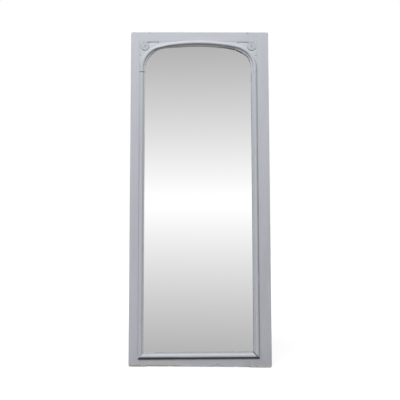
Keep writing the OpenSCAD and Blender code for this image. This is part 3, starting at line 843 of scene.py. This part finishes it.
def worn(node, name, material, along, gaps, edge, wave=0.2, shape=None, extra=(), tone=None,
         bare=None, dirt_and_shade=None):
    """A piece of old timber: the node's solid with eased arrises and faces that are not quite flat.

    along is the axis of its grain, and gaps and extra say where its faces are cut. edge is how far
    its arrises are worn and wave how far its faces are hollow. shape(p, old) moves a point further.
    tone(p) shifts the grain, bare(p) adds wear, and the last rule darkens it: dirty places and painted
    shade.
    """
    bm = flat_mesh(node)
    low = [min(v.co[i] for v in bm.verts) for i in range(3)]
    high = [max(v.co[i] for v in bm.verts) for i in range(3)]
    for axis in range(3):
        if gaps[axis]:
            cut(bm, axis, steps(low[axis], high[axis], gaps[axis]))
    for axis, places in extra:
        cut(bm, axis, places)
    bmesh.ops.triangulate(bm, faces=[f for f in bm.faces if len(f.verts) > 4])
    bmesh.ops.recalc_face_normals(bm, faces=bm.faces)
    bm.normal_update()
    bm.verts.index_update()
    arrises = find_arrises(bm)
    moved = []
    for v in bm.verts:
        p = v.co
        if v.index in arrises:
            moved.append(p - arrises[v.index].normalized() * arris_bite(p, edge))
        else:
            hollow = 0.5 + 0.5 * rough(p.x / HOLLOW_WAVE, p.y / HOLLOW_WAVE, p.z / HOLLOW_WAVE)
            moved.append(p - v.normal * wave * hollow)
    for v, p in zip(bm.verts, moved):
        v.co = shape(p.copy(), v.co) if shape else p
    order = (Z, X, Y) if along == Z else (X, Z, Y)

    def grain(i, p):
        return (p[order[0]] + (tone(p) if tone else 0.0), p[order[1]], p[order[2]])

    def wear(i, p):
        return (ARRIS_WEAR if i in arrises else 0.0) + (bare(p) if bare else 0.0)

    finish_mesh(bm, name, material, node, grain, wear, (lambda i, p: dirt_and_shade(p)) if dirt_and_shade else None,
                sharp=40)


def on_back(p):
    """Whether a point is on the back face."""
    return p.y > BACK_Y - BACK_SKIN


def foot_edge(x):
    """Height of the foot bead's outer edge."""
    return FOOT_L + (x - BEAD_L) * math.tan(FOOT_SLOPE)


def unpainted(p):
    """Bare wood on the back, and where the paint wore off towards the floor."""
    if on_back(p):
        return BARE
    if p.y > FACE_Y + 8 and p.z > 6:
        return 0.0
    if p.x > LIP_R:
        return 1.1 * fade(p.z, 11.0, 4.0) + 0.25 * fade(p.z, 3.0, 4.0)
    left = fade(p.x, -130.0, 110.0)
    return (0.75 + 0.75 * left) * fade(p.z, 6.0 + 3.0 * left, 6.0)


def seam_shade(p):
    """Painted shade on the frame: black in the open mitre and the left bead's joint, and a painted shadow
    under the foot bead.
    """
    mitre_z = foot_edge(BEAD_R)
    if BEAD_R - BEAD_W - 2 < p.x < BEAD_R - 0.5 and mitre_z + 1 < p.z < mitre_z + BEAD_W:
        return SHADE_BLACK
    if BEAD_L + 1 < p.x < BEAD_L + BEAD_W and abs(p.z - JOINT_Z + LEFT_JOINT / 2) < LEFT_JOINT:
        return SHADE_BLACK
    below = foot_edge(p.x) - p.z
    if below < -20 or not BEAD_L + 2 < p.x < BEAD_R - 2:
        return 0.0
    if below < 0:
        return SHADE_BLACK
    return 1.8 * bell(below, 0.0, 5.5) + 0.3 * bell(below, 9.0, 8.0)


def frame_dirt_and_shade(p):
    """Dirty all over the back; darker off the face, low down and on the lower right; painted shade in the
    seams; two dark spots at the foot.
    """
    if on_back(p):
        return 1.0
    if p.y > FACE_Y + FRONT_SKIN:
        return 0.3
    low = 0.17 * fade(p.z, 30.0, 120.0)
    if p.x < LIP_R:
        low += bell(p.x, LIP_R, 25.0) * fade(p.z, 6.0, 4.0)
    right = 0.22 * rise(p.x, 200.0, 60.0) * fade(p.z, 300.0, 1100.0)
    dot = 2.4 * bell(p.x, DOT_X, 5.0) * bell(p.z, 6.0, 4.0)
    knot = 1.4 * bell(p.x, FLAKE_X, 6.0) * bell(p.z, 17.0, 3.0)
    return max(low + right, seam_shade(p), dot, knot)


def foot_shape(p, old):
    """The lower front edge of the foot: knocks, and a shallow flake lost from the bottom rail."""
    if old.z >= FOOT_ZONE or old.y >= FACE_Y + KNOCK_D:
        return p
    knock = max(0.0, rough(old.x / KNOCK_WAVE, 4.0) - 0.05) * 3.2
    bite = knock + 0.5 * abs(rough(old.x / CHIP_WAVE, 9.0))
    near = fade(old.z, RAIL_LIFT, 10.0)
    front = fade(old.y, FACE_Y, KNOCK_D)
    lift = bite * near * front
    if LIP_L < old.x < LIP_R:
        p.z += lift
        flake = FLAKE_H * bell(old.x, FLAKE_X, FLAKE_W) - old.z
        if flake > 0:
            p.y += FLAKE_D * front * ease(flake / 2.0)
    else:
        p.z += 0.4 * lift
        p.y += 0.3 * bite * near
    return p


def add_frame(paint, back):
    """Stiles and rails, with closer cuts where the foot, the foot bead and the side beads are."""
    near_foot = [(Z, [RAIL_LIFT + d for d in (1, 2.2, 3.6, 5.5, 8, 11, 14, 17, 22, 26)]),
                 (Z, [31.0 + 2.5 * i for i in range(20)])]
    joint_z = [JOINT_Z - LEFT_JOINT / 2 + d for d in (-2.6, -2.4, 2.4, 2.6)]
    for node, near_x in (("left_stile", BEAD_L), ("right_stile", BEAD_R)):
        beside = [near_x + d for d in (-3.0, -1.9, -0.4, 0.9, 1.1)]
        worn(node, node + "_timber", paint, Z, (7, 8, 14), edge=0.4, shape=foot_shape,
             extra=near_foot + [(Z, joint_z), (X, beside)], bare=unpainted, dirt_and_shade=frame_dirt_and_shade)
    worn("top_rail", "top_rail_timber", paint, X, (14, 8, 7), edge=0.35,
         bare=unpainted, dirt_and_shade=frame_dirt_and_shade)
    worn("bottom_rail", "bottom_rail_timber", paint, X, (5, 8, 7), edge=0.6,
         shape=foot_shape, extra=near_foot, bare=unpainted, dirt_and_shade=frame_dirt_and_shade)
    for node in ("lower_cross_rail", "upper_cross_rail"):
        worn(node, node + "_timber", back, X, (16, 8, 9), edge=0.5, wave=0.3)


BOARDS = 3
SHAKE_W = 1.5
SHAKE_D = 0.8
BOARD_JUMP = 431.0
PANEL_JUMP = 1700.0


def add_panels(wood):
    """Each panel is glued up from three boards, with a fine shaken joint between them."""
    low, high = LIP_L - GROOVE_D, LIP_R + GROOVE_D
    joints = [low + (high - low) * (i + 0.06 * rough(i * 3.3, 2.0)) / BOARDS for i in range(1, BOARDS)]
    near = [j + d for j in joints for d in (-2.0, -0.7, 0.0, 0.7, 2.0)]

    def board(p):
        return BOARD_JUMP * sum(1 for j in joints if p.x > j)

    def joint_shape(p, old):
        for j in joints:
            d = abs(old.x - j)
            if d < SHAKE_W and old.y > FACE_Y + 24:
                p.y -= SHAKE_D * (1 - d / SHAKE_W)
        return p

    for i, node in enumerate(("lower_panel", "middle_panel", "upper_panel")):
        worn(node, node + "_boards", wood, Z, (18, 0, 18), edge=0.3, wave=0.5,
             shape=joint_shape, extra=[(X, near)], tone=lambda p, i=i: board(p) + PANEL_JUMP * i)


# Spandrels and rosettes

# Sunk fields: depth under the top edge, where they start and end along X, and how far the edge is high
FIELD_D = 2.7
FIELD_IN = 30
FIELD_TIP = 14
FIELD_LEN = 112.0
FIELD_LIFT = 3.9

# Relief of a rosette: middle and half width of its rim and ring, and the petals' start and length
ROSETTE_BASE = 1.8
ROSETTE_EDGE = 1.9
RIM = (21.4, 2.4)
RING = (9.6, 2.4)
PETAL_START = 12.2
PETAL_LEN = 6.4
BOSS_R = 5.4
DIMPLE_R = 1.3
AROUND = 128
RADII = [0.35 + 0.425 * i for i in range(56)]


def arch_distance(x, z):
    """Distance of a point outside the outer edge of the arch."""
    dx = abs(x - ARCH_X)
    if z < SPRING_Z:
        return dx - ARCH_HALF
    a = math.atan2(z - CROWN_Z, dx)
    if a > HAUNCH_A:
        return math.hypot(dx, z - CROWN_Z) - CROWN_R
    return math.hypot(dx - HAUNCH_X, z - SPRING_Z) - HAUNCH_R


def scoop(p, old):
    """The sunk field: deepest under its top edge, and running out towards the arch."""
    if abs(old.y - (FACE_Y + FIELD_FLOOR)) < 0.05:
        side = 1.0 if old.x < ARCH_X else -1.0
        inner = side * (old.x - ARCH_X) + ARCH_HALF - FIELD_IN
        low = max(arch_distance(old.x, old.z) - FIELD_MARGIN, 0.0)
        up = max(FIELD_TOP - old.z, 0.0)
        share = low / (low + up + 0.5)
        deep = FIELD_D * math.sin(math.pi * clamped((inner + FIELD_TIP) / FIELD_LEN)) ** 0.6
        p.y = FACE_Y + 0.4 + deep * share ** 1.3 + 0.25 * rough(old.x / 4, old.z / 4)
    if abs(old.z - FIELD_TOP) < 0.05:
        p.z += FIELD_LIFT + 0.6 * rough(old.x / 9, 6.0)
    return p


def field_dust_and_shadow(p):
    """Dust in the sunk field, and a painted shadow under its top edge."""
    if p.y < FACE_Y + 0.6:
        return 0.0
    hollow_dark = 0.15 if p.z > 1700 else 0.0
    # Painted shadow under the field's top edge
    edge_shadow = 1.6 * (1 + 0.5 * rough(p.x / 9, 2.0)) * bell(p.z, FIELD_TOP + 4.5, 3.4)
    return max(hollow_dark, edge_shadow)


def add_spandrels(paint):
    """The two spandrel boards with their sunk fields."""
    for node in ("left_spandrel", "right_spandrel"):
        worn(node, node + "_carving", paint, X, (3, 0, 3), edge=0.35, wave=0.15,
             shape=scoop, dirt_and_shade=field_dust_and_shadow)


def dome(r, middle, width):
    """A round hump, 1 high."""
    return math.sqrt(max(0.0, 1 - ((r - middle) / width) ** 2))


def rosette_height(r, a):
    """Relief of a rosette: a turned rim, a ring of veined petals, and a boss with a dimple."""
    turn = PETALS / 2 * a + math.pi / 2
    bud = abs(math.cos(turn)) ** 0.55
    vein = -0.3 * bell(math.sin(turn), 0.0, 0.10)
    petal = (0.8 * bud + vein) * math.sin(math.pi * clamped((r - PETAL_START) / PETAL_LEN)) ** 0.7
    rim = 1.8 * dome(r, *RIM)
    ring = 1.2 * dome(r, *RING)
    boss = 2.6 * dome(r, 0.0, BOSS_R) - bell(r, 0.0, DIMPLE_R)
    return ROSETTE_BASE + rim + ring + petal + boss


def add_rosette(node, cx, cz, paint):
    """One rosette, as rings of points round its middle."""
    bm = bmesh.new()
    marks = []

    def point(r, a, h):
        wobble = 0.1 * rough(r / 3, a * 2, cx) if h > 0.5 else 0.0
        marks.append((r, h))
        return bm.verts.new((cx + r * math.cos(a), FACE_Y - h - wobble, cz + r * math.sin(a)))

    def ring(r, height):
        return [point(r, a, height(r, a)) for a in (2 * math.pi * i / AROUND for i in range(AROUND))]

    def wear(i, p):
        return 0.55 if marks[i][1] > 4.1 else 0.0

    # Darker at the middle, and painted shade round the rim and in the low hollows
    def dirt_and_shade(i, p):
        r, h = marks[i]
        if r < 2.2:
            return 1.2
        if r > 22.8:
            return 0.9
        return 0.3 * fade(h, 1.5, 1.5)

    centre = point(0.0, 0.0, rosette_height(0, 0))
    rings = [ring(r, rosette_height) for r in RADII]
    rings.append(ring(ROSETTE_R, lambda r, a: ROSETTE_EDGE))
    rings.append(ring(ROSETTE_R, lambda r, a: 0.0))
    back = point(0.0, 0.0, 0.0)
    for i in range(AROUND):
        j = (i + 1) % AROUND
        bm.faces.new((centre, rings[0][i], rings[0][j]))
        bm.faces.new((back, rings[-1][i], rings[-1][j]))
        for a, b in zip(rings, rings[1:]):
            quad(bm, a, b, i)
    finish_mesh(bm, node + "_carving", paint, node, lambda i, p: (p.x, p.z, p.y),
                wear, dirt_and_shade, sharp=50)


# Surroundings

SKY_PEAK = 0.077
SKY_SLOPE = 1.21
SKY_TOP = 1.015
SKY_FLOOR = 0.62
GAMMA = 2.2
DOME = 0.54
DOME_LOW = 0.04
HORIZON = 0.08
WHITE = (1, 1, 1, 1)
FLOOR_SIZE = 30
FLOOR_DROP = 0.0003
FLOOR_GLOW = 1.12
FLOOR_SHADOW = 0.22
SHADOW_FULL = 0.8
SHADOW_END = 2.2
FLOOR_MATTE = (0.8, 0.8, 0.8, 1)
FLOOR_BOUNCE = (0.34, 0.34, 0.34, 1)
KEY_PLACE = (-1.0, -3.4, 5.7)
KEY_TARGET = (0, 0, 0.9)
KEY_SIZE = 1.5
KEY_WATTS = 198


def add_world():
    """White behind the object; in the plate, a studio that is brightest at eye level."""
    world = bpy.data.worlds.new("studio")
    bpy.context.scene.world = world
    world.use_nodes = True
    sky = Nodes(world.node_tree)
    sky.tree.nodes.clear()
    place = sky.node("ShaderNodeTexCoord").outputs["Generated"]
    height = sky.node("ShaderNodeSeparateXYZ", {0: place}).outputs["Z"]
    away = sky.math("ABSOLUTE", sky.minus(height, SKY_PEAK))
    value = sky.math("MAXIMUM", sky.minus(SKY_TOP, sky.times(away, SKY_SLOPE)), SKY_FLOOR)
    seen = sky.math("DIVIDE", sky.math("POWER", value, GAMMA), MIRROR_REFLECTANCE)
    studio = sky.node("ShaderNodeBackground", {"Color": WHITE, "Strength": seen})
    lift = sky.node("ShaderNodeMapRange", {
        "Value": height, "From Min": -HORIZON, "From Max": HORIZON, "To Min": DOME_LOW, "To Max": DOME})
    fill = sky.node("ShaderNodeBackground", {"Color": WHITE, "Strength": lift.outputs[0]})
    plain = sky.node("ShaderNodeBackground", {"Color": WHITE, "Strength": 1.0})
    path = sky.node("ShaderNodeLightPath")
    shiny = sky.math("MAXIMUM", path.outputs["Is Glossy Ray"], path.outputs["Is Transmission Ray"])
    shiny = sky.times(shiny, sky.math("LESS_THAN", path.outputs["Diffuse Depth"], 0.5))
    around = sky.node("ShaderNodeMixShader", {0: shiny, 1: fill.outputs[0], 2: studio.outputs[0]})
    behind = sky.node("ShaderNodeMixShader", {
        0: path.outputs["Is Camera Ray"], 1: around.outputs[0], 2: plain.outputs[0]})
    sky.node("ShaderNodeOutputWorld", {"Surface": behind.outputs[0]})


def add_floor():
    """A pale floor that keeps a soft shadow and shows white to the camera."""
    bm = bmesh.new()
    bmesh.ops.create_grid(bm, x_segments=8, y_segments=8, size=FLOOR_SIZE)
    mesh = bpy.data.meshes.new("floor")
    bm.to_mesh(mesh)
    bm.free()
    floor = bpy.data.objects.new("floor", mesh)
    floor.location.z = -FLOOR_DROP
    bpy.context.scene.collection.objects.link(floor)
    shade = Shade("floor_pale")
    path = shade.node("ShaderNodeLightPath")
    away = shade.node("ShaderNodeVectorMath", {0: shade.place()}, operation="LENGTH").outputs["Value"]
    share = shade.times(shade.minus(1.0, shade.step(away, SHADOW_FULL, SHADOW_END)), FLOOR_SHADOW)
    glow = shade.node("ShaderNodeEmission", {"Color": WHITE, "Strength": FLOOR_GLOW})
    matte = shade.node("ShaderNodeBsdfDiffuse", {"Color": FLOOR_MATTE})
    dim = shade.node("ShaderNodeBsdfDiffuse", {"Color": FLOOR_BOUNCE})
    pale = shade.node("ShaderNodeMixShader", {0: share, 1: glow.outputs[0], 2: matte.outputs[0]})
    both = shade.node("ShaderNodeMixShader", {
        0: path.outputs["Is Camera Ray"], 1: dim.outputs[0], 2: pale.outputs[0]})
    shade.feed(shade.tree.nodes["Material Output"].inputs["Surface"], both.outputs[0])
    shade.tree.nodes.remove(shade.surface)
    mesh.materials.append(shade.material)
    floor.visible_glossy = False


def add_key():
    """One soft lamp high on the left, in front of the mirror."""
    data = bpy.data.lights.new("key", "AREA")
    data.shape = "DISK"
    data.size = KEY_SIZE
    data.energy = KEY_WATTS
    lamp = bpy.data.objects.new("key", data)
    lamp.location = KEY_PLACE
    lamp.rotation_euler = (Vector(KEY_TARGET) - Vector(KEY_PLACE)).to_track_quat("-Z", "Y").to_euler()
    bpy.context.scene.collection.objects.link(lamp)


def main():
    add_camera()
    add_frame(painted_wood("frame_paint"), old_wood("oak_bare"))
    add_panels(old_wood("pine_bare"))
    carving_paint = painted_wood("carving_paint")
    add_spandrels(carving_paint)
    for node, (cx, cz) in ROSETTES.items():
        add_rosette(node, cx, cz, carving_paint)
    bead_paint = painted_wood("moulding_paint")
    add_side_beads(bead_paint)
    add_arch_beads(bead_paint)
    add_foot_bead(bead_paint)
    peg = end_grain()
    iron = rusty_iron()
    plain = {
        "mirror_plate": silvered_glass(), "corner_pegs": peg, "cross_rail_pegs": peg,
        "setting_blocks": peg, "side_packers": peg, "spandrel_nails": iron, "rosette_pins": iron,
        "arch_bead_nails": iron, "side_bead_nails": iron, "bottom_bead_nails": iron,
    }
    for node, material in plain.items():
        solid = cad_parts[node]
        solid.data.materials.clear()
        solid.data.materials.append(material)
    add_world()
    add_floor()
    add_key()
    bpy.context.scene.view_settings.view_transform = "Standard"


main()
